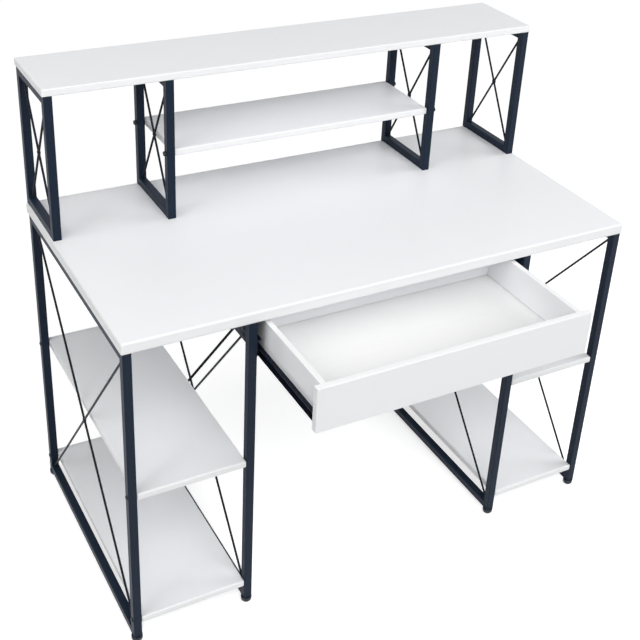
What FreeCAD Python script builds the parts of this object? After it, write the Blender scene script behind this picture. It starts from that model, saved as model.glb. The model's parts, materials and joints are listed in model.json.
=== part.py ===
import FreeCAD
import Part
import os
from math import atan2, cos, degrees, pi, sin

V = FreeCAD.Vector

# Writing desk with two open pedestals, a hutch over the back and one drawer over the kneehole.
# Millimetres. +X is the sitter's right, +Y goes to the back, +Z is up.
# The origin is on the floor under the middle of the whole part, drawer pulled out as stored.

# Overall sizes
desk_width = 1190.0
desk_depth = 620.0
desk_height = 760.0
kneehole_width = 640.0
hutch_height = 336.0
hutch_depth = 200.0
drawer_reach = 233.0

# Boards
desktop_thickness = 25.0
desktop_edge_radius = 4.0
shelf_thickness = 16.0
shelf_edge_radius = 3.5
hutch_top_thickness = 16.0
hutch_top_edge_radius = 2.5
middle_shelf_top = 401.0
bottom_shelf_top = 68.0
hutch_shelf_rise = 162.0
hutch_shelf_front_inset = 5.0
board_end_gap = 0.2

# Steel frames
tube_size = 18.0
tube_wall = 1.2
tube_corner_radius = 1.5
frame_side_inset = 3.0
leg_front_inset = 2.0
leg_back_inset = 7.0
inner_rail_height = 52.0
rod_diameter = 5.0
rod_overrun = 12.0
weld_gap = 0.05

# Feet
foot_height = 14.0
foot_diameter = 24.0
foot_dome_radius = 8.0
foot_plug_length = 26.0
foot_plug_gap = 0.1

# Cross brace behind the kneehole
brace_rod_diameter = 7.0
brace_tab_width = 13.0
brace_tab_thickness = 2.4
brace_tab_length = 24.0
brace_low_height = 52.0
brace_high_drop = 13.0
brace_tab_overlap = 10.0

# Drawer box
drawer_top_gap = 5.0
drawer_front_height = 98.5
drawer_front_thickness = 15.0
drawer_front_side_gap = 5.5
drawer_edge_radius = 1.5
drawer_board_radius = 1.0
drawer_side_room = 20.0
drawer_box_length = 312.0
drawer_side_thickness = 12.0
drawer_side_top_drop = 2.5
drawer_side_bottom_rise = 10.5
drawer_bottom_thickness = 5.0
drawer_bottom_rise = 7.5
groove_depth = 5.0
groove_gap = 0.2
groove_top_gap = 1.2

# Roller slides
track_height = 18.0
track_steel = 1.2
drawer_track_rise = 1.0
track_spacing = 3.0
track_front_gap = 1.0
slide_play = 12.0
track_reach_gap = 1.8
cabinet_track_setback = 2.0
nose_length = 24.0
roller_gap = 0.3
roller_end_room = 0.8
roller_side_gap = 0.2
roller_standoff = 2.0
roller_pin_diameter = 5.0
roller_pin_running_gap = 0.05
roller_pin_head_diameter = 8.0
roller_pin_head_height = 0.5
stop_thickness = 4.0
slot_length = 14.0
slot_width = 4.2

# Brackets that hold the slides off the deep rails
bracket_steel = 1.5
bracket_front_setback = 4.0
bracket_bottom_drop = 2.0
bracket_top_drop = 13.0
bracket_boss_diameter = 12.0
bracket_bolt_inset = 7.0
bracket_bolt_back_inset = 12.0

# Fasteners
hole_gap = 0.2
bolt_diameter = 6.0
bolt_head_diameter = 10.0
bolt_head_height = 2.6
bolt_head_radius = 1.6
cap_head_diameter = 10.5
cap_head_height = 5.5
cap_head_radius = 0.8
bolt_grip = 30.0
socket_size = 4.0
socket_depth = 1.6
screw_diameter = 4.5
screw_head_diameter = 9.0
screw_head_height = 2.4
screw_bite = 14.0
hutch_bolt_bite = 10.0
hutch_screw_bite = 9.0
small_screw_diameter = 4.0
small_screw_head_diameter = 7.5
small_screw_head_height = 1.1
drawer_screw_tip_gap = 0.7
cabinet_screw_reach = 5.0
pin_diameter = 6.0
pin_end_gap = 2.8
pin_in_shelf = 22.0
brace_bolt_bite = 12.0
brace_bolt_head_height = 2.2
dowel_diameter = 6.0
dowel_in_front = 9.0
dowel_in_side = 16.0
box_screw_diameter = 4.0
box_screw_length = 40.0
box_screw_head_height = 1.0

# Shares along the rails, tracks and boards where fasteners sit
desktop_screw_shares = (0.12, 0.42)
hutch_bolt_shares = (0.2, 0.6)
hutch_top_screw_shares = (0.2, 0.8)
track_screw_shares = (0.12, 0.52, 0.84)
track_slot_shares = (0.22, 0.36, 0.68)
box_screw_shares = (0.3, 0.72)
bracket_bolt_shares = (0.46, 0.78)

# Shares of a screw head's height or width for its rounded rim and the cross in its top
rim_share = 0.6
cross_depth_share = 0.6
cross_length_share = 0.56
cross_width_share = 0.14

# How near to an axis an edge must run to count as lying along it
along_share = 0.5
hexagon_sides = 6
cross_arms = 4

# Planes worked out from the sizes
front_y = drawer_reach - (desk_depth + drawer_reach) / 2
back_y = front_y + desk_depth
underside_z = desk_height - desktop_thickness
leg_front_y = front_y + leg_front_inset
leg_back_y = back_y - leg_back_inset
rail_front_y = leg_front_y + tube_size
rail_back_y = leg_back_y - tube_size
hutch_front_y = back_y - hutch_depth
hutch_rail_front_y = hutch_front_y + tube_size
hutch_rail_back_y = back_y - tube_size
hutch_underside_z = desk_height + hutch_height - hutch_top_thickness
inner_x = kneehole_width / 2
outer_x = desk_width / 2 - frame_side_inset - tube_size

# Each side frame's name and the x of its left face
frames = (
    ("left_outer", -outer_x - tube_size),
    ("left_inner", -inner_x - tube_size),
    ("right_inner", inner_x),
    ("right_outer", outer_x),
)
hands = (("left", -1), ("right", 1))
pin_in_leg = tube_size - tube_wall - pin_end_gap

# Bolt heads: diameter, height and the radius of the rim
low_head = (bolt_head_diameter, bolt_head_height, bolt_head_radius)
cap_head = (cap_head_diameter, cap_head_height, cap_head_radius)

# Places of the drawer and its slides, from the desk's own planes
drawer_front_y = front_y - drawer_reach
drawer_travel = drawer_reach + leg_front_inset
drawer_front_top = underside_z - drawer_top_gap
drawer_front_bottom = drawer_front_top - drawer_front_height
box_front_y = drawer_front_y + drawer_front_thickness
box_back_y = box_front_y + drawer_box_length
box_top_z = drawer_front_top - drawer_side_top_drop
box_bottom_z = drawer_front_bottom + drawer_side_bottom_rise
drawer_box_width = kneehole_width - drawer_side_room * 2
drawer_track_z = box_bottom_z + drawer_track_rise
drawer_track_axis_z = drawer_track_z + track_height / 2
cabinet_track_z = drawer_track_z + track_height + track_spacing
cabinet_track_axis_z = cabinet_track_z + track_height / 2
track_depth = slide_play - track_steel - track_reach_gap
roller_diameter = track_height - track_steel * 2 - roller_gap * 2
pin_room = roller_standoff + roller_side_gap * 2 + roller_pin_head_height
roller_width = slide_play - track_steel * 2 - pin_room - small_screw_head_height - roller_end_room
drawer_screw_length = track_steel + drawer_side_thickness - groove_depth - drawer_screw_tip_gap
cabinet_screw_length = track_steel + bracket_steel + cabinet_screw_reach
cabinet_front_y = leg_front_y + drawer_front_thickness + cabinet_track_setback
cabinet_back_y = cabinet_front_y + drawer_box_length
front_roller_y = cabinet_front_y + nose_length / 2
rear_roller_y = box_back_y - nose_length / 2

parts = {}
bores = {}


def block(x0, x1, y0, y1, z0, z1):
    low = V(min(x0, x1), min(y0, y1), min(z0, z1))
    return Part.makeBox(abs(x1 - x0), abs(y1 - y0), abs(z1 - z0), low)


def rounded_block(x0, x1, y0, y1, z0, z1, radius):
    solid = block(x0, x1, y0, y1, z0, z1)
    return solid.makeFillet(radius, solid.Edges)


def rod(start, end, diameter):
    return Part.makeCylinder(diameter / 2, (end - start).Length, start, end - start)


def rod_x(x0, x1, y, z, diameter):
    return rod(V(x0, y, z), V(x1, y, z), diameter)


def rod_z(x, y, z0, z1, diameter):
    return rod(V(x, y, z0), V(x, y, z1), diameter)


def between(low, high, share):
    return low + (high - low) * share


def add(node, *solids):
    parts.setdefault(node, []).extend(solids)


def drill(hole, *nodes):
    for node in nodes:
        bores.setdefault(node, []).append(hole)


def long_edged_block(x0, x1, y0, y1, z0, z1, axis, radius):
    # A block with only the edges along one axis rounded
    solid = block(x0, x1, y0, y1, z0, z1)
    runs_along = [e for e in solid.Edges if abs(e.tangentAt(e.FirstParameter).dot(axis)) > along_share]
    return solid.makeFillet(radius, runs_along)


def tube(x0, x1, y0, y1, z0, z1, axis):
    # A hollow tube with rounded long edges, open at both ends
    outside = long_edged_block(x0, x1, y0, y1, z0, z1, axis, tube_corner_radius)
    wx, wy, wz = (0 if along else tube_wall for along in (axis.x, axis.y, axis.z))
    return outside.cut(block(x0 + wx, x1 - wx, y0 + wy, y1 - wy, z0 + wz, z1 - wz))


def prism(centre, axis, outline, depth):
    # Extrudes an outline of (across, other) pairs, drawn square to the axis, along the axis
    across = V(0, 0, 1) if axis.z == 0 else V(1, 0, 0)
    other = axis.cross(across)
    corners = [centre + across * a + other * b for a, b in outline + outline[:1]]
    return Part.Face(Part.makePolygon(corners)).extrude(axis * depth)


def hexagon(size):
    turns = [corner * 2 * pi / hexagon_sides for corner in range(hexagon_sides)]
    return [(cos(turn) * size / 2, sin(turn) * size / 2) for turn in turns]


def cross(length, width):
    long, wide = length / 2, width / 2
    arm = [(long, -wide), (long, wide), (wide, wide)]
    corners = []
    for turn in range(cross_arms):
        corners.extend(arm)
        arm = [(-b, a) for a, b in arm]
    return corners


def round_head(head_top, axis, diameter, height, rim_radius):
    head = Part.makeCylinder(diameter / 2, height, head_top, axis)
    rim = [e for e in head.Edges if e.Closed and (e.CenterOfMass - head_top).Length < height / 2]
    return head.makeFillet(rim_radius, rim)


def socket_bolt(seat, axis, length, head_sizes):
    # A round-headed bolt with a hexagon socket. The axis points from the head into the work.
    diameter, height, rim_radius = head_sizes
    head_top = seat - axis * height
    head = round_head(head_top, axis, diameter, height, rim_radius)
    shank = Part.makeCylinder(bolt_diameter / 2, length, seat, axis)
    return head.fuse(shank).cut(prism(head_top, axis, hexagon(socket_size), socket_depth))


def pan_screw(seat, axis, length, diameter, head_diameter, head_height):
    # A screw with a flat round head, a rounded rim and a cross recess
    head_top = seat - axis * head_height
    head = round_head(head_top, axis, head_diameter, head_height, head_height * rim_share)
    recess = cross(head_diameter * cross_length_share, head_diameter * cross_width_share)
    shank = Part.makeCylinder(diameter / 2, length, seat, axis)
    return head.fuse(shank).cut(prism(head_top, axis, recess, head_height * cross_depth_share))


def deck_screw(node, x, y, seat_z, length, *drilled):
    # A screw driven upwards from under a rail, with its clearance hole
    up = V(0, 0, 1)
    add(node, pan_screw(V(x, y, seat_z), up, length, screw_diameter, screw_head_diameter, screw_head_height))
    drill(rod_z(x, y, seat_z, seat_z + length + hole_gap, screw_diameter + hole_gap * 2), *drilled)


def cross_rods(x, y0, y1, z0, z1, blockers):
    # Two rods from corner to corner of a frame's opening, coped to the tubes. The second is welded
    # in two halves to the first where they cross.
    over = (V(0, y1, z1) - V(0, y0, z0)).normalize() * rod_overrun
    first_start, first_end = V(x, y0, z0) - over, V(x, y1, z1) + over
    rising = rod(first_start, first_end, rod_diameter)
    falling = rod(V(x, y0, z1) - V(0, over.y, -over.z), V(x, y1, z0) + V(0, over.y, -over.z), rod_diameter)
    falling = falling.cut(rod(first_start, first_end, rod_diameter + weld_gap * 2))
    for blocker in blockers:
        rising = rising.cut(blocker)
        falling = falling.cut(blocker)
    return rising.Solids + falling.Solids


def top_rail_height(name):
    return inner_rail_height if name.endswith("inner") else tube_size


def desk_frame(name, x0):
    # Two legs, a top rail, a bottom rail and a cross of rods, welded into one side frame
    x1 = x0 + tube_size
    top_z = underside_z - top_rail_height(name)
    rail_z = foot_height + tube_size
    legs = (("front", leg_front_y, rail_front_y), ("back", rail_back_y, leg_back_y))
    rails = ((top_z, underside_z), (foot_height, rail_z))
    blockers = []
    for place, y0, y1 in legs:
        add(name + "_" + place + "_leg", tube(x0, x1, y0, y1, foot_height, underside_z, V(0, 0, 1)))
        blockers.append(block(x0, x1, y0, y1, foot_height, underside_z))
        add("feet", foot(x0 + tube_size / 2, (y0 + y1) / 2))
    for z0, z1 in rails:
        add(name + "_rails", tube(x0, x1, rail_front_y, rail_back_y, z0, z1, V(0, 1, 0)))
        blockers.append(block(x0, x1, rail_front_y, rail_back_y, z0, z1))
    add(name + "_cross_rods", *cross_rods(x0 + tube_size / 2, rail_front_y, rail_back_y, rail_z,
                                          underside_z - tube_size, blockers))


def hutch_frame(name, x0):
    # The smaller frame of the same make that stands on the desktop above each side frame
    x1 = x0 + tube_size
    posts = ((hutch_front_y, hutch_rail_front_y), (hutch_rail_back_y, back_y))
    low_rail_z = desk_height + tube_size
    high_rail_z = hutch_underside_z - tube_size
    blockers = []
    for y0, y1 in posts:
        add(name + "_hutch_posts", tube(x0, x1, y0, y1, desk_height, hutch_underside_z, V(0, 0, 1)))
        blockers.append(block(x0, x1, y0, y1, desk_height, hutch_underside_z))
    for z0, z1 in ((desk_height, low_rail_z), (high_rail_z, hutch_underside_z)):
        add(name + "_hutch_rails", tube(x0, x1, hutch_rail_front_y, hutch_rail_back_y, z0, z1, V(0, 1, 0)))
        blockers.append(block(x0, x1, hutch_rail_front_y, hutch_rail_back_y, z0, z1))
    add(name + "_hutch_cross_rods", *cross_rods(x0 + tube_size / 2, hutch_rail_front_y, hutch_rail_back_y,
                                                low_rail_z, high_rail_z, blockers))


def foot(x, y):
    # A domed glide moulded in one with the plug that fills the tube's end
    glide = Part.makeCylinder(foot_diameter / 2, foot_height, V(x, y, 0))
    rim = [e for e in glide.Edges if e.Closed and e.CenterOfMass.z < foot_height / 2]
    glide = glide.makeFillet(foot_dome_radius, rim)
    half = tube_size / 2 - tube_wall - foot_plug_gap
    plug = block(x - half, x + half, y - half, y + half, foot_height, foot_height + foot_plug_length)
    return glide.fuse(plug)


def deck_fasteners(name, x0):
    # Screws from each top rail into the desktop, and long bolts through both into the hutch rail
    x = x0 + tube_size / 2
    height = top_rail_height(name)
    rails, hutch_rails = name + "_rails", name + "_hutch_rails"
    for share in desktop_screw_shares:
        y = between(rail_front_y, rail_back_y, share)
        deck_screw("desktop_screws", x, y, underside_z - height, height + screw_bite, rails, "desktop")
    for share in hutch_bolt_shares:
        y = between(hutch_rail_front_y, hutch_rail_back_y, share)
        deck_screw("hutch_bolts", x, y, underside_z - height, height + desktop_thickness + hutch_bolt_bite,
                   rails, "desktop", hutch_rails)
    for share in hutch_top_screw_shares:
        y = between(hutch_rail_front_y, hutch_rail_back_y, share)
        deck_screw("hutch_top_screws", x, y, hutch_underside_z - tube_size, tube_size + hutch_screw_bite,
                   hutch_rails, "hutch_top")


def shelf_bolt(face_x, side, y, z, head_sizes, *drilled):
    # A bolt through a leg into the end of a shelf. The head lies on the leg's outer face.
    length = tube_size + bolt_grip
    add("shelf_bolts", socket_bolt(V(face_x, y, z), V(-side, 0, 0), length, head_sizes))
    drill(rod_x(face_x, face_x - side * (length + hole_gap), y, z, bolt_diameter + hole_gap * 2), *drilled)


def shelf_pin(face_x, side, y, z, *drilled):
    # A plain pin between a leg's inner wall and the end of a shelf
    add("shelf_pins", rod_x(face_x - side * pin_in_leg, face_x + side * pin_in_shelf, y, z, pin_diameter))
    hole_end = face_x + side * (pin_in_shelf + hole_gap)
    drill(rod_x(face_x - side * pin_in_leg, hole_end, y, z, pin_diameter + hole_gap * 2), *drilled)


def pedestal(hand, side):
    # Two shelves between an outer and an inner side frame
    inner_face = side * (inner_x + tube_size)
    outer_face = side * outer_x
    places = (("front", leg_front_y + tube_size / 2), ("back", leg_back_y - tube_size / 2))
    for level, top in (("middle", middle_shelf_top), ("bottom", bottom_shelf_top)):
        node = hand + "_" + level + "_shelf"
        add(node, rounded_block(inner_face + side * board_end_gap, outer_face - side * board_end_gap,
                                leg_front_y, leg_back_y, top - shelf_thickness, top, shelf_edge_radius))
        z = top - shelf_thickness / 2
        for place, y in places:
            leg = hand + "_outer_" + place + "_leg"
            shelf_bolt(outer_face + side * tube_size, side, y, z, low_head, node, leg)
            shelf_pin(inner_face, side, y, z, node, hand + "_inner_" + place + "_leg")


def boards():
    half = desk_width / 2
    hutch_top_z = desk_height + hutch_height
    add("desktop", rounded_block(-half, half, front_y, back_y, underside_z, desk_height,
                                 desktop_edge_radius))
    add("hutch_top", rounded_block(-half, half, hutch_front_y, back_y, hutch_underside_z, hutch_top_z,
                                   hutch_top_edge_radius))
    shelf_top = desk_height + hutch_shelf_rise
    half_shelf = inner_x - board_end_gap
    shelf_front_y = hutch_front_y + hutch_shelf_front_inset
    add("hutch_shelf", rounded_block(-half_shelf, half_shelf, shelf_front_y, back_y,
                                     shelf_top - shelf_thickness, shelf_top, shelf_edge_radius))
    for hand, side in hands:
        pedestal(hand, side)
        for y in (hutch_front_y + tube_size / 2, back_y - tube_size / 2):
            shelf_bolt(side * (inner_x + tube_size), side, y, shelf_top - shelf_thickness / 2, cap_head,
                       "hutch_shelf", hand + "_inner_hutch_posts")


def brace_bar(side):
    # One rod across the back of the kneehole, with its ends flattened and bolted to the back legs
    x = inner_x + tube_size / 2
    start = V(-side * x, leg_back_y, brace_low_height)
    end = V(side * x, leg_back_y, underside_z - brace_high_drop)
    along = (end - start).normalize()
    tilt = -degrees(atan2(along.z, along.x))
    off = V(0, brace_rod_diameter / 2, 0)
    bar = rod(start + along * (brace_tab_length - brace_tab_overlap) + off,
              end - along * (brace_tab_length - brace_tab_overlap) + off, brace_rod_diameter)
    for place, direction in ((start, 1), (end, -1)):
        tab = block(0, direction * brace_tab_length, 0, brace_tab_thickness,
                    -brace_tab_width / 2, brace_tab_width / 2)
        tab = tab.fuse(Part.makeCylinder(brace_tab_width / 2, brace_tab_thickness, V(0, 0, 0), V(0, 1, 0)))
        tab.rotate(V(0, 0, 0), V(0, 1, 0), tilt)
        tab.translate(place)
        bar = bar.fuse(tab)
        leg = ("left" if place.x < 0 else "right") + "_inner_back_leg"
        seat = place + V(0, brace_tab_thickness, 0)
        length = brace_tab_thickness + brace_bolt_bite
        add("back_brace_bolts", pan_screw(seat, V(0, -1, 0), length, screw_diameter, screw_head_diameter,
                                          brace_bolt_head_height))
        drill(rod(seat, seat - V(0, length + hole_gap, 0), screw_diameter + hole_gap * 2), leg, "back_brace")
    return bar, rod(start + off, end + off, brace_rod_diameter + weld_gap * 2)


def back_brace():
    # The second bar is welded in two halves to the first where they cross
    rising, crossing = brace_bar(1)
    falling = brace_bar(-1)[0].cut(crossing)
    add("back_brace", *rising.Solids, *falling.Solids)


def drawer_box():
    half_front = inner_x - drawer_front_side_gap
    half_box = drawer_box_width / 2
    half_inside = half_box - drawer_side_thickness
    inside_back_y = box_back_y - drawer_side_thickness
    add("drawer_front", rounded_block(-half_front, half_front, drawer_front_y, box_front_y,
                                      drawer_front_bottom, drawer_front_top, drawer_edge_radius))
    for hand, side in hands:
        add("drawer_" + hand + "_side",
            long_edged_block(side * half_inside, side * half_box, box_front_y, box_back_y, box_bottom_z,
                             box_top_z, V(0, 1, 0), drawer_board_radius))
    add("drawer_back", long_edged_block(-half_inside, half_inside, inside_back_y, box_back_y, box_bottom_z,
                                        box_top_z, V(1, 0, 0), drawer_board_radius))
    panel_z = box_bottom_z + drawer_bottom_rise
    reach = groove_depth - groove_gap
    add("drawer_bottom", block(-half_inside - reach, half_inside + reach, box_front_y - reach,
                               inside_back_y + reach, panel_z, panel_z + drawer_bottom_thickness))
    groove = block(-half_inside - groove_depth, half_inside + groove_depth, box_front_y - groove_depth,
                   inside_back_y + groove_depth, panel_z - groove_gap,
                   panel_z + drawer_bottom_thickness + groove_top_gap)
    drill(groove, "drawer_front", "drawer_left_side", "drawer_right_side", "drawer_back")
    for hand, side in hands:
        for share in box_screw_shares:
            drawer_joint(hand, side, half_box, between(panel_z + drawer_bottom_thickness, box_top_z, share))


def drawer_joint(hand, side, half_box, z):
    # A flush screw through the side into the back, and a dowel from the side's end into the front
    side_node = "drawer_" + hand + "_side"
    y = box_back_y - drawer_side_thickness / 2
    into = V(-side, 0, 0)
    head = V(side * half_box, y, z)
    seat = head + into * box_screw_head_height
    add("drawer_fixings", pan_screw(seat, into, box_screw_length, box_screw_diameter,
                                    small_screw_head_diameter, box_screw_head_height))
    end = seat + into * (box_screw_length + hole_gap)
    drill(rod(head, end, box_screw_diameter + hole_gap * 2), side_node, "drawer_back")
    drill(rod(head, seat, small_screw_head_diameter + hole_gap * 2), side_node)
    x = side * (half_box - drawer_side_thickness / 2)
    low, high = V(x, box_front_y - dowel_in_front, z), V(x, box_front_y + dowel_in_side, z)
    add("drawer_fixings", rod(low, high, dowel_diameter))
    ends = V(0, hole_gap, 0)
    drill(rod(low - ends, high + ends, dowel_diameter + hole_gap * 2), side_node, "drawer_front")


def roller(x0, x1, y, z):
    bore = roller_pin_diameter + roller_pin_running_gap * 2
    return rod_x(x0, x1, y, z, roller_diameter).cut(rod_x(x0, x1, y, z, bore))


def channel(web_x, side, y0, y1, z0):
    # A folded steel track: an upright web, and flanges along its top and bottom towards side
    steel = side * track_steel
    flange_x = web_x + side * track_depth
    z1 = z0 + track_height
    web = block(web_x, web_x + steel, y0, y1, z0, z1)
    low = block(web_x, flange_x, y0, y1, z0, z0 + track_steel)
    return web.fuse(low).fuse(block(web_x, flange_x, y0, y1, z1 - track_steel, z1))


def slide_pin(web_x, side, y, z):
    # A riveted pin on a web, with a shoulder and a thin head that keep the roller between them
    face = web_x + side * track_steel
    shoulder = face + side * roller_standoff
    tip = shoulder + side * (roller_side_gap * 2 + roller_width)
    pin = rod_x(web_x, tip, y, z, roller_pin_diameter)
    pin = pin.fuse(rod_x(web_x, shoulder, y, z, roller_pin_head_diameter))
    return pin.fuse(rod_x(tip, tip + side * roller_pin_head_height, y, z, roller_pin_head_diameter))


def roller_span(web_x, side):
    start = web_x + side * (track_steel + roller_standoff + roller_side_gap)
    return start, start + side * roller_width


def slide(hand, side):
    # One roller slide: a track on the drawer's side runs over a roller on the cabinet track's nose,
    # and a roller at the drawer track's back end runs inside the cabinet track.
    drawer_web = side * drawer_box_width / 2
    cabinet_web = drawer_web + side * slide_play
    add("drawer_" + hand + "_track", drawer_track(hand, side, drawer_web))
    add("cabinet_" + hand + "_track", cabinet_track(hand, -side, cabinet_web))
    x0, x1 = roller_span(cabinet_web, -side)
    add(hand + "_front_roller", roller(x0, x1, front_roller_y, drawer_track_axis_z))
    x0, x1 = roller_span(drawer_web, side)
    add(hand + "_rear_roller", roller(x0, x1, rear_roller_y, cabinet_track_axis_z))


def drawer_track(hand, side, web_x):
    node = "drawer_" + hand + "_track"
    start = box_front_y + track_front_gap
    steel = side * track_steel
    track = channel(web_x, side, start, box_back_y, drawer_track_z)
    tail = block(web_x, web_x + steel, box_back_y - nose_length, box_back_y, drawer_track_z,
                 cabinet_track_z + track_height)
    track = track.fuse(tail).fuse(slide_pin(web_x, side, rear_roller_y, cabinet_track_axis_z))
    for share in track_slot_shares:
        track = track.cut(slot(web_x, steel, between(start, box_back_y, share), drawer_track_axis_z))
    for share in track_screw_shares:
        y = between(start, box_back_y, share)
        track_screw("drawer_fixings", V(web_x + steel, y, drawer_track_axis_z), -side, drawer_screw_length,
                    node, "drawer_" + hand + "_side")
    return track


def cabinet_track(hand, side, web_x):
    node = "cabinet_" + hand + "_track"
    steel = side * track_steel
    low = cabinet_track_z
    track = channel(web_x, side, cabinet_front_y, cabinet_back_y, low)
    nose = block(web_x, web_x + steel, cabinet_front_y, cabinet_front_y + nose_length, drawer_track_z, low)
    track = track.fuse(nose).fuse(slide_pin(web_x, side, front_roller_y, drawer_track_axis_z))
    stop_x = web_x + side * (track_depth - track_steel)
    reach = roller_diameter / 2 + roller_gap
    for y in (rear_roller_y - reach - stop_thickness, rear_roller_y + drawer_travel + reach):
        track = track.fuse(block(web_x, stop_x, y, y + stop_thickness, low, cabinet_track_axis_z))
    for share in track_screw_shares:
        y = between(cabinet_front_y, cabinet_back_y, share)
        track_screw("slide_screws", V(web_x + steel, y, cabinet_track_axis_z), -side, cabinet_screw_length,
                    node, hand + "_slide_bracket")
    return track


def slot(web_x, steel, y, z):
    half = (slot_length - slot_width) / 2
    hole = block(web_x, web_x + steel, y - half, y + half, z - slot_width / 2, z + slot_width / 2)
    for end in (y - half, y + half):
        hole = hole.fuse(rod_x(web_x, web_x + steel, end, z, slot_width))
    return hole


def track_screw(node, seat, into, length, *drilled):
    # A flat-headed screw from inside a track through its web and into what carries it
    axis = V(into, 0, 0)
    add(node, pan_screw(seat, axis, length, small_screw_diameter, small_screw_head_diameter,
                        small_screw_head_height))
    drill(rod(seat, seat + axis * (length + hole_gap), small_screw_diameter + hole_gap * 2), *drilled)


def slide_bracket(hand, side):
    # A steel plate under the deep rail that holds the cabinet track, on pressed bosses
    node = hand + "_slide_bracket"
    plate_x = side * (drawer_box_width / 2 + slide_play)
    rail_x = side * inner_x
    start = cabinet_front_y + bracket_front_setback
    bottom = cabinet_track_z - bracket_bottom_drop
    top = underside_z - bracket_top_drop
    plate = block(plate_x, plate_x + side * bracket_steel, start, cabinet_back_y, bottom, top)
    for y in (start + bracket_bolt_inset, cabinet_back_y - bracket_bolt_back_inset):
        for share in bracket_bolt_shares:
            z = underside_z - inner_rail_height * share
            plate = plate.fuse(rod_x(plate_x, rail_x, y, z, bracket_boss_diameter))
            head = V(rail_x + side * tube_size, y, z)
            length = abs(head.x - plate_x)
            add("slide_screws", pan_screw(head, V(-side, 0, 0), length, screw_diameter, screw_head_diameter,
                                          screw_head_height))
            drill(rod(head, V(plate_x, y, z), screw_diameter + hole_gap * 2), node, hand + "_inner_rails")
    add(node, plate)


def finished(node):
    # The node's solids with every hole that passes through them
    solids = []
    for solid in parts[node]:
        for hole in bores.get(node, []):
            if solid.BoundBox.intersect(hole.BoundBox):
                solid = solid.cut(hole)
        solids.extend(solid.removeSplitter().Solids)
    return solids


for frame_name, frame_x in frames:
    desk_frame(frame_name, frame_x)
    hutch_frame(frame_name, frame_x)
    deck_fasteners(frame_name, frame_x)
boards()
back_brace()
drawer_box()
for hand_name, hand_side in hands:
    slide(hand_name, hand_side)
    slide_bracket(hand_name, hand_side)

os.makedirs("parts", exist_ok=True)
for node_name in sorted(parts):
    node_solids = finished(node_name)
    shape = node_solids[0] if len(node_solids) == 1 else Part.makeCompound(node_solids)
    shape.exportStep("parts/" + node_name + ".step")
    print(node_name, len(node_solids), "solids, volume", round(shape.Volume), "valid", shape.isValid())
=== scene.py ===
import bpy
import bmesh
import json
from math import cos, pi, sin
from mathutils import Matrix, Vector, noise


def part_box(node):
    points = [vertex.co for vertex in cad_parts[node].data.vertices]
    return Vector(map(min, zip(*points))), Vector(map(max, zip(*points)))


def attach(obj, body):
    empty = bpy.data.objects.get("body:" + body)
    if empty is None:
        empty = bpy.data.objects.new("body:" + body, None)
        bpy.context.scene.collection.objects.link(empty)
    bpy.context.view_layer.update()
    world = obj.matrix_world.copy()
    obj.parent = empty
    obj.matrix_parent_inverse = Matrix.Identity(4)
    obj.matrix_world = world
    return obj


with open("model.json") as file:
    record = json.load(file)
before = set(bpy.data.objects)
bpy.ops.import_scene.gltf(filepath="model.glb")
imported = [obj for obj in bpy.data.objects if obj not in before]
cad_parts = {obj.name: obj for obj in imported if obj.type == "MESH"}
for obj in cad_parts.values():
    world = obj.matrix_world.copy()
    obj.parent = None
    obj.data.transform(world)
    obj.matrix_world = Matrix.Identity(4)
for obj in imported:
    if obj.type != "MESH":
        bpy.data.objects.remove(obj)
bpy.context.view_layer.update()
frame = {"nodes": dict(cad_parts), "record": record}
nodes = frame["nodes"]
scene = bpy.context.scene

# Camera, fitted to the photograph's straight edges with half of the lens shift that fits best. Metres
# and radians, and millimetres for the sensor.
camera_place = Vector((-1.133895, -1.857723, 1.930931))
camera_azimuth = 0.53823
camera_descent = 0.492884
camera_roll = -0.063304
focal_pixels = 1141.801176
image_pixels = 640.0
sensor_width = 36.0
camera_shift = (-0.038406, -0.133617)

# Colours, linear
board_white = (0.850, 0.861, 0.880)
board_shade = (0.834, 0.846, 0.866)
edge_white = (0.852, 0.858, 0.866)
edge_shade = (0.838, 0.844, 0.852)
panel_white = (0.845, 0.845, 0.842)
panel_shade = (0.812, 0.811, 0.806)
steel_dark = (0.0080, 0.0152, 0.0296)
steel_light = (0.0128, 0.0214, 0.0384)
rod_dark = (0.004, 0.006, 0.011)
rod_light = (0.007, 0.010, 0.017)
enamel_dark = (0.006, 0.008, 0.016)
enamel_light = (0.010, 0.013, 0.024)
plastic_dark = (0.006, 0.010, 0.017)
plastic_light = (0.010, 0.015, 0.023)
nylon_dark = (0.011, 0.012, 0.015)
nylon_light = (0.020, 0.021, 0.025)
bolt_dark = (0.006, 0.009, 0.014)
bolt_light = (0.013, 0.018, 0.025)
zinc_light = (0.66, 0.67, 0.68)
zinc_dark = (0.46, 0.47, 0.50)
weld_dark = (0.006, 0.011, 0.020)
weld_light = (0.012, 0.019, 0.031)

# Noise seldom leaves these limits, which are stretched to the range that a finish needs
noise_limits = (0.3, 0.7)
speck_limits = (0.35, 0.7)

# Faced board. Limits of how squarely a point faces the board's thin axis, from 0 on the edges to 1 on
# the broad faces: where the edge band gives way to the face, and where the seam begins and ends.
band_limits = (0.8, 0.93)
seam_begins = (0.955, 0.97)
seam_ends = (0.985, 0.996)
mottle_share = 0.6
pearl_share = 0.35
seam_share = 0.3

# Paper-faced panel
fibre_stretch = (1.0, 14.0, 14.0)
fibre_share = 0.5
speck_share = 0.3

# Powder coat: the dark patches' share, and the grain's bump strength as a share of the orange peel's
patch_share = 0.4
grain_bump_share = 0.6

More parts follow.
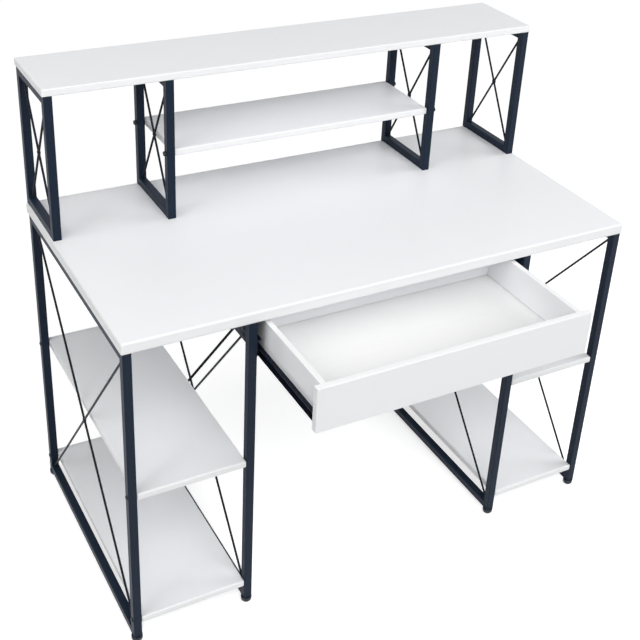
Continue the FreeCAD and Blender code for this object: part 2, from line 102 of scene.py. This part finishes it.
# Roughness, lowest and highest. A board's edge band is smoother than its faces by the last value.
board_roughness = (0.35, 0.41)
drawer_side_roughness = (0.18, 0.23)
panel_roughness = (0.44, 0.54)
frame_roughness = (0.42, 0.50)
rod_roughness = (0.40, 0.50)
enamel_roughness = (0.18, 0.25)
weld_roughness = (0.38, 0.50)
foot_roughness = (0.45, 0.58)
nylon_roughness = (0.38, 0.48)
bolt_roughness = (0.30, 0.42)
zinc_roughness = (0.19, 0.26)
band_smoothing = 0.04

# Sockets of a Mix node in its colour mode
mix_factor, mix_a, mix_b, mix_result = 0, 6, 7, 2

# Studio. From the near distance to the far one the floor gives back less light and is lifted further
# to white.
world_strength = 0.1
world_strength_seen = 1
floor_shade_near, floor_shade_far = 0.7, 0.1
floor_lift_near, floor_lift_far = 0.64, 1.0
floor_near, floor_far = 1.6, 3.0
floor_half = 14.0
floor_drop = 0.0006

# Name, place, target, width, height and power, in metres and watts
softboxes = (
    ("front_high_softbox", (-0.3, -3.0, 3.2), (0, 0, 0.6), 3.0, 2.0, 90),
    ("front_top_softbox", (-0.2, -2.2, 4.2), (0, 0, 0.6), 4.0, 1.6, 14),
    ("left_fore_softbox", (-3.0, -2.0, 2.8), (0, 0, 0.6), 2.4, 2.4, 24),
    ("left_high_softbox", (-3.1, -0.6, 3.1), (0, 0, 0.6), 2.4, 2.4, 50),
    ("right_high_softbox", (3.1, -0.6, 3.1), (0, 0, 0.6), 2.4, 2.4, 45),
    ("right_low_softbox", (3.8, -0.9, 1.3), (0, 0, 0.5), 2.0, 2.0, 66),
    ("back_left_softbox", (-2.2, 2.6, 3.0), (0, 0, 0.7), 2.4, 2.0, 10),
)


# Finishes

class Finish:
    """A material whose nodes are added one call at a time."""

    def __init__(self, name):
        self.material = bpy.data.materials.new(name)
        self.material.use_nodes = True
        self.tree = self.material.node_tree
        self.shader = self.tree.nodes["Principled BSDF"]
        self.place = self.add("ShaderNodeTexCoord")

    def add(self, kind, **values):
        node = self.tree.nodes.new(kind)
        for key, value in values.items():
            setattr(node, key, value)
        return node

    def link(self, source, target):
        self.tree.links.new(source, target)

    def math(self, operation, *values):
        node = self.add("ShaderNodeMath", operation=operation)
        for socket, value in zip(node.inputs, values):
            if isinstance(value, (int, float)):
                socket.default_value = value
            else:
                self.link(value, socket)
        return node.outputs[0]

    def stretched(self, scale):
        node = self.add("ShaderNodeMapping")
        self.link(self.place.outputs["Object"], node.inputs["Vector"])
        node.inputs["Scale"].default_value = scale
        return node.outputs[0]

    def noise(self, scale, detail=2.0, rough=0.5, vector=None):
        node = self.add("ShaderNodeTexNoise")
        self.link(vector or self.place.outputs["Object"], node.inputs["Vector"])
        node.inputs["Scale"].default_value = scale
        node.inputs["Detail"].default_value = detail
        node.inputs["Roughness"].default_value = rough
        return node.outputs["Fac"]

    def cells(self, scale):
        node = self.add("ShaderNodeTexVoronoi", feature="SMOOTH_F1")
        self.link(self.place.outputs["Object"], node.inputs["Vector"])
        node.inputs["Scale"].default_value = scale
        return node.outputs["Distance"]

    def ramp(self, factor, limits, values):
        node = self.add("ShaderNodeMapRange")
        self.link(factor, node.inputs["Value"])
        for socket, value in zip(("From Min", "From Max", "To Min", "To Max"), (*limits, *values)):
            node.inputs[socket].default_value = value
        return node.outputs[0]

    def spread(self, factor, values=(0, 1)):
        return self.ramp(factor, noise_limits, values)

    def scaled(self, factor, share):
        return self.math("MULTIPLY", factor, share)

    def mix(self, factor, a, b):
        node = self.add("ShaderNodeMix", data_type="RGBA")
        self.link(factor, node.inputs[mix_factor])
        for socket, value in ((node.inputs[mix_a], a), (node.inputs[mix_b], b)):
            if isinstance(value, tuple):
                socket.default_value = (*value, 1)
            else:
                self.link(value, socket)
        return node.outputs[mix_result]

    def broadness(self, axis):
        # 1 on the board's two broad faces, which are square to its thin axis, and 0 on its edges
        split = self.add("ShaderNodeSeparateXYZ")
        self.link(self.place.outputs["Normal"], split.inputs[0])
        return self.math("ABSOLUTE", split.outputs["XYZ".index(axis)])

    def bump(self, height, strength, distance, under=None):
        node = self.add("ShaderNodeBump")
        node.inputs["Strength"].default_value = strength
        node.inputs["Distance"].default_value = distance
        self.link(height, node.inputs["Height"])
        if under:
            self.link(under, node.inputs["Normal"])
        return node.outputs[0]

    def finish(self, colour, roughness, normal, **constants):
        self.link(colour, self.shader.inputs["Base Color"])
        self.link(roughness, self.shader.inputs["Roughness"])
        self.link(normal, self.shader.inputs["Normal"])
        for key, value in constants.items():
            self.shader.inputs[key.replace("_", " ")].default_value = value
        return self.material


def faced_board(name, axis, rough_limits):
    # White faced board: a fine pearl on the faces, and a smoother edge band with a hairline seam
    f = Finish(name)
    broad = f.broadness(axis)
    band = f.ramp(broad, band_limits, (1, 0))
    mottle = f.spread(f.noise(scale=5.0, detail=4.0, rough=0.6))
    pearl = f.spread(f.noise(scale=900.0, rough=0.6))
    face = f.mix(f.scaled(mottle, mottle_share), board_white, board_shade)
    face = f.mix(f.scaled(pearl, pearl_share), face, board_shade)
    edge = f.mix(mottle, edge_white, edge_shade)
    seam = f.math("MULTIPLY", f.ramp(broad, seam_begins, (0, 1)), f.ramp(broad, seam_ends, (1, 0)))
    colour = f.mix(f.scaled(seam, seam_share), f.mix(band, face, edge), panel_shade)
    roughness = f.spread(f.noise(scale=60.0, detail=3.0), rough_limits)
    roughness = f.math("SUBTRACT", roughness, f.scaled(band, band_smoothing))
    normal = f.bump(f.noise(scale=1100.0), strength=0.014, distance=0.0004)
    normal = f.bump(f.noise(scale=130.0), strength=0.008, distance=0.0008, under=normal)
    return f.finish(colour, roughness, normal, Specular_IOR_Level=0.3)


def paper_panel():
    # The drawer's thin bottom: paper-faced panel, a little warmer, with a faint lengthwise fibre
    f = Finish("drawer_panel")
    fibre = f.spread(f.noise(scale=14.0, detail=5.0, rough=0.65, vector=f.stretched(fibre_stretch)))
    speck = f.ramp(f.noise(scale=700.0), speck_limits, (0, 1))
    colour = f.mix(f.scaled(fibre, fibre_share), panel_white, panel_shade)
    colour = f.mix(f.scaled(speck, speck_share), colour, panel_shade)
    roughness = f.ramp(fibre, (0, 1), panel_roughness)
    normal = f.bump(f.noise(scale=900.0), strength=0.05, distance=0.0004)
    return f.finish(colour, roughness, normal, Specular_IOR_Level=0.4)


def powder_coat(name, dark, light, rough_limits, peel):
    # Powder-coated steel: orange peel a few millimetres across under a finer grain
    f = Finish(name)
    patch = f.spread(f.noise(scale=9.0, detail=4.0, rough=0.6))
    grain = f.spread(f.noise(scale=1500.0, rough=0.6))
    colour = f.mix(f.scaled(patch, patch_share), f.mix(grain, dark, light), dark)
    roughness = f.spread(f.noise(scale=240.0, detail=3.0), rough_limits)
    normal = f.bump(f.noise(scale=420.0), strength=peel, distance=0.0006)
    normal = f.bump(f.noise(scale=1900.0), strength=peel * grain_bump_share, distance=0.0002, under=normal)
    return f.finish(colour, roughness, normal, Specular_IOR_Level=0.11)


def moulded(name, dark, light, rough_limits):
    # Moulded plastic with a fine spark-eroded grain
    f = Finish(name)
    colour = f.mix(f.spread(f.noise(scale=380.0, detail=3.0, rough=0.6)), dark, light)
    roughness = f.spread(f.noise(scale=90.0, detail=3.0), rough_limits)
    normal = f.bump(f.cells(scale=1800.0), strength=0.12, distance=0.0003)
    return f.finish(colour, roughness, normal, Specular_IOR_Level=0.4)


def plated(name, dark, light, rough_limits, metallic):
    # Plated fastener steel: cloudy plating with a fine tooth
    f = Finish(name)
    colour = f.mix(f.spread(f.noise(scale=260.0, detail=4.0, rough=0.6)), dark, light)
    roughness = f.spread(f.noise(scale=800.0, detail=3.0), rough_limits)
    normal = f.bump(f.noise(scale=2600.0), strength=0.08, distance=0.0002)
    return f.finish(colour, roughness, normal, Metallic=metallic)


finishes = {
    "board_flat": faced_board("board_flat", "Z", board_roughness),
    "board_front": faced_board("board_front", "Y", board_roughness),
    "board_side": faced_board("board_side", "X", drawer_side_roughness),
    "panel": paper_panel(),
    "frame_steel": powder_coat("frame_powder_coat", steel_dark, steel_light, frame_roughness, peel=0.08),
    "rod_steel": powder_coat("rod_powder_coat", rod_dark, rod_light, rod_roughness, peel=0.06),
    "slide_steel": powder_coat("slide_enamel", enamel_dark, enamel_light, enamel_roughness, peel=0.05),
    "weld": powder_coat("weld_powder_coat", weld_dark, weld_light, weld_roughness, peel=0.25),
    "foot_plastic": moulded("foot_moulding", plastic_dark, plastic_light, foot_roughness),
    "roller_nylon": moulded("roller_moulding", nylon_dark, nylon_light, nylon_roughness),
    "black_bolt": plated("black_plating", bolt_dark, bolt_light, bolt_roughness, metallic=0.3),
    "zinc_fastener": plated("zinc_plating", zinc_dark, zinc_light, zinc_roughness, metallic=1.0),
}
board_finish = {
    "drawer_front": "board_front",
    "drawer_back": "board_front",
    "drawer_left_side": "board_side",
    "drawer_right_side": "board_side",
    "drawer_bottom": "panel",
}


def finish_of(node, slot):
    if slot == "white_board":
        return board_finish.get(node, "board_flat")
    return slot


for row in frame["record"]["subparts"]:
    mesh = nodes[row["node"]].data
    mesh.materials.clear()
    mesh.materials.append(finishes[finish_of(row["node"], row["material_slot"])])


# Welds

def new_piece(name, mesh_maker, finish, body):
    bm = bmesh.new()
    mesh_maker(bm)
    bmesh.ops.recalc_face_normals(bm, faces=bm.faces)
    mesh = bpy.data.meshes.new(name)
    bm.to_mesh(mesh)
    bm.free()
    for polygon in mesh.polygons:
        polygon.use_smooth = True
    piece = bpy.data.objects.new(name, mesh)
    scene.collection.objects.link(piece)
    mesh.materials.append(finishes[finish])
    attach(piece, body)


def loft(bm, sections):
    # Closed rings joined one to the next, with a face over each end
    rings = [[bm.verts.new(point) for point in section] for section in sections]
    count = len(rings[0])
    for low, high in zip(rings, rings[1:]):
        for i in range(count):
            j = (i + 1) % count
            bm.faces.new((low[i], low[j], high[j], high[i]))
    bm.faces.new(rings[0][::-1])
    bm.faces.new(rings[-1])


bead_length = 0.0155
bead_leg = 0.0026
bead_ripple = 0.16
bead_pitch = 0.0021
bead_stations = 29
bead_arc_points = 5
bead_root = 0.0004
bead_hollow = 0.18
bead_end_share = 0.25
bead_end_rise = 2.2


def corner_bead(bm, corner, along, u, v, length):
    # A rippled fillet in the corner between two faces that run away from it along u and v
    sections = []
    for station in range(bead_stations):
        share = station / (bead_stations - 1)
        offset = (share - 0.5) * length
        taper = min(1, bead_end_share + sin(pi * share) * bead_end_rise)
        leg = bead_leg * taper * (1 + bead_ripple * sin(offset / bead_pitch * 2 * pi))
        root = corner + along * offset
        section = [root - (u + v) * bead_root]
        for step in range(bead_arc_points):
            turn = step / (bead_arc_points - 1) * pi / 2
            shallow = 1 - bead_hollow * sin(2 * turn)
            section.append(root + u * leg * cos(turn) * shallow + v * leg * sin(turn) * shallow)
        sections.append(section)
    loft(bm, sections)


# How far along the rod each ring of a collar is, and its radius as a multiple of the rod's
collar_profile = ((-0.002, 1.95), (0.0, 1.9), (0.0016, 1.68), (0.0032, 1.44), (0.005, 1.2), (0.007, 1.02))
collar_points = 18
collar_lump = 0.10
collar_lump_reach = 0.004
collar_lump_scale = 420


def rod_collar(bm, end, direction, rod_radius):
    # A flared weld where a rod runs into the corner of its frame
    across = Vector((1, 0, 0))
    other = direction.cross(across).normalized()
    sections = []
    for offset, flare in collar_profile:
        section = []
        for i in range(collar_points):
            turn = i / collar_points * 2 * pi
            ray = across * cos(turn) + other * sin(turn)
            place = end + ray * collar_lump_reach + direction * offset
            lump = 1 + collar_lump * noise.noise(place * collar_lump_scale)
            section.append(end + direction * offset + ray * rod_radius * flare * lump)
        sections.append(section)
    loft(bm, sections)


dot_rings = 9
dot_points = 18
dot_lump = 0.12
dot_lump_scale = 350


def weld_dot(bm, centre, radius, half_thickness):
    # The lumpy flat button that ties two rods where they cross
    sections = []
    for ring in range(dot_rings):
        tilt = (ring + 0.5) / dot_rings * pi
        section = []
        for i in range(dot_points):
            turn = i / dot_points * 2 * pi
            ray = Vector((-cos(tilt) * half_thickness,
                          sin(tilt) * cos(turn) * radius,
                          sin(tilt) * sin(turn) * radius))
            section.append(centre + ray * (1 + dot_lump * noise.noise((centre + ray) * dot_lump_scale)))
        sections.append(section)
    loft(bm, sections)


frame_names = ("left_outer", "left_inner", "right_inner", "right_outer")
tube_size = 0.018
deck_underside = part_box("desktop")[0].z
desk_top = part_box("desktop")[1].z
hutch_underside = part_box("hutch_top")[0].z


def frame_corners():
    # For every welded frame: its middle x, its opening's y and z limits, and where its rods aim at the top
    for name in frame_names:
        low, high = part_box(name + "_rails")
        rods_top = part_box(name + "_cross_rods")[1].z
        mid_x = (low.x + high.x) / 2
        yield mid_x, low.y, high.y, low.z + tube_size, rods_top, deck_underside - tube_size
        low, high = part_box(name + "_hutch_rails")
        hutch_limit = hutch_underside - tube_size
        yield mid_x, low.y, high.y, desk_top + tube_size, hutch_limit, hutch_limit


def frame_beads(bm):
    along = Vector((1, 0, 0))
    for x, y0, y1, z0, z1, _ in frame_corners():
        for y, into_y in ((y0, 1), (y1, -1)):
            for z, into_z in ((z0, 1), (z1, -1)):
                u, v = Vector((0, into_y, 0)), Vector((0, 0, into_z))
                corner_bead(bm, Vector((x, y, z)), along, u, v, bead_length)


cross_weld_radius = 0.0064
cross_weld_half = 0.0037
brace_weld_radius = 0.0078
brace_weld_half = 0.0046
brace_weld_reach = 0.0053


def brace_weld(bm, centre):
    # Just short of the back of the brace's rods and about 3 mm proud of their front
    start = len(bm.verts)
    weld_dot(bm, Vector((0, 0, 0)), brace_weld_radius, brace_weld_half)
    bm.verts.ensure_lookup_table()
    turn = Matrix.Rotation(pi / 2, 4, "Z")
    for vert in bm.verts[start:]:
        vert.co = turn @ vert.co + centre


def rod_welds(bm):
    rods_low, rods_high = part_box("left_outer_cross_rods")
    rod_radius = (rods_high.x - rods_low.x) / 2
    for x, y0, y1, z0, z1, aim_z in frame_corners():
        slope = Vector((0, y1 - y0, aim_z - z0)).normalized()
        for flip in (1, -1):
            low = Vector((x, y0 if flip > 0 else y1, z0))
            direction = Vector((0, slope.y * flip, slope.z))
            rod_collar(bm, low, direction, rod_radius)
            high = low + direction * ((z1 - z0) / direction.z)
            rod_collar(bm, high, -direction, rod_radius)
        weld_dot(bm, Vector((x, (y0 + y1) / 2, (z0 + aim_z) / 2)), cross_weld_radius, cross_weld_half)
    low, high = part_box("back_brace")
    brace_weld(bm, Vector(((low.x + high.x) / 2, high.y - brace_weld_reach, (low.z + high.z) / 2)))


new_piece("frame_corner_beads", frame_beads, "weld", "desk")
new_piece("rod_weld_beads", rod_welds, "weld", "desk")


# Studio: floor, world, lights and camera

def seen_directly(tree):
    # 1 for rays that show the background: from the camera, off gloss or through glass
    path = tree.nodes.new("ShaderNodeLightPath")
    total = path.outputs["Is Camera Ray"]
    for other in ("Is Glossy Ray", "Is Transmission Ray"):
        joined = tree.nodes.new("ShaderNodeMath")
        joined.operation = "MAXIMUM"
        tree.links.new(total, joined.inputs[0])
        tree.links.new(path.outputs[other], joined.inputs[1])
        total = joined.outputs[0]
    return total


def make_floor():
    mesh = bpy.data.meshes.new("studio_floor")
    corners = ((-1, -1), (1, -1), (1, 1), (-1, 1))
    points = [(x * floor_half, y * floor_half, -floor_drop) for x, y in corners]
    mesh.from_pydata(points, [], [(0, 1, 2, 3)])
    floor = bpy.data.objects.new("studio_floor", mesh)
    scene.collection.objects.link(floor)
    material = bpy.data.materials.new("studio_floor")
    material.use_nodes = True
    tree = material.node_tree
    tree.nodes.remove(tree.nodes["Principled BSDF"])
    diffuse = tree.nodes.new("ShaderNodeBsdfDiffuse")
    lift = tree.nodes.new("ShaderNodeEmission")
    place = tree.nodes.new("ShaderNodeTexCoord")
    distance = tree.nodes.new("ShaderNodeVectorMath")
    distance.operation = "LENGTH"
    tree.links.new(place.outputs["Object"], distance.inputs[0])

    def by_distance(near_value, far_value):
        node = tree.nodes.new("ShaderNodeMapRange")
        node.interpolation_type = "SMOOTHSTEP"
        tree.links.new(distance.outputs["Value"], node.inputs["Value"])
        for socket, value in (("From Min", floor_near), ("From Max", floor_far),
                              ("To Min", near_value), ("To Max", far_value)):
            node.inputs[socket].default_value = value
        return node.outputs[0]

    tree.links.new(by_distance(floor_shade_near, floor_shade_far), diffuse.inputs["Color"])
    strength = tree.nodes.new("ShaderNodeMath")
    strength.operation = "MULTIPLY"
    tree.links.new(seen_directly(tree), strength.inputs[0])
    tree.links.new(by_distance(floor_lift_near, floor_lift_far), strength.inputs[1])
    tree.links.new(strength.outputs[0], lift.inputs["Strength"])
    both = tree.nodes.new("ShaderNodeAddShader")
    tree.links.new(diffuse.outputs[0], both.inputs[0])
    tree.links.new(lift.outputs[0], both.inputs[1])
    tree.links.new(both.outputs[0], tree.nodes["Material Output"].inputs["Surface"])
    mesh.materials.append(material)


def make_world():
    world = bpy.data.worlds.new("studio")
    scene.world = world
    world.use_nodes = True
    tree = world.node_tree
    background = tree.nodes["Background"]
    background.inputs["Color"].default_value = (1, 1, 1, 1)
    strength = tree.nodes.new("ShaderNodeMapRange")
    tree.links.new(seen_directly(tree), strength.inputs["Value"])
    strength.inputs["To Min"].default_value = world_strength
    strength.inputs["To Max"].default_value = world_strength_seen
    tree.links.new(strength.outputs[0], background.inputs["Strength"])


def softbox(name, place, target, width, height, power):
    lamp = bpy.data.lights.new(name, "AREA")
    lamp.shape = "RECTANGLE"
    lamp.size, lamp.size_y = width, height
    lamp.energy = power
    holder = bpy.data.objects.new(name, lamp)
    holder.location = place
    holder.rotation_euler = (Vector(target) - Vector(place)).to_track_quat("-Z", "Y").to_euler()
    scene.collection.objects.link(holder)


def make_camera():
    level = cos(camera_descent)
    forward = Vector((sin(camera_azimuth) * level, cos(camera_azimuth) * level, -sin(camera_descent)))
    right = forward.cross(Vector((0, 0, 1))).normalized()
    down = forward.cross(right)
    across = right * cos(camera_roll) + down * sin(camera_roll)
    up = right * sin(camera_roll) - down * cos(camera_roll)
    camera = bpy.data.cameras.new("photo_camera")
    camera.sensor_width = sensor_width
    camera.lens = focal_pixels * sensor_width / image_pixels
    camera.shift_x, camera.shift_y = camera_shift
    holder = bpy.data.objects.new("photo_camera", camera)
    turn = Matrix((across, up, -forward)).transposed().to_4x4()
    holder.matrix_world = Matrix.Translation(camera_place) @ turn
    scene.collection.objects.link(holder)
    scene.camera = holder


make_floor()
make_world()
for row in softboxes:
    softbox(*row)
make_camera()
scene.view_settings.view_transform = "Standard"
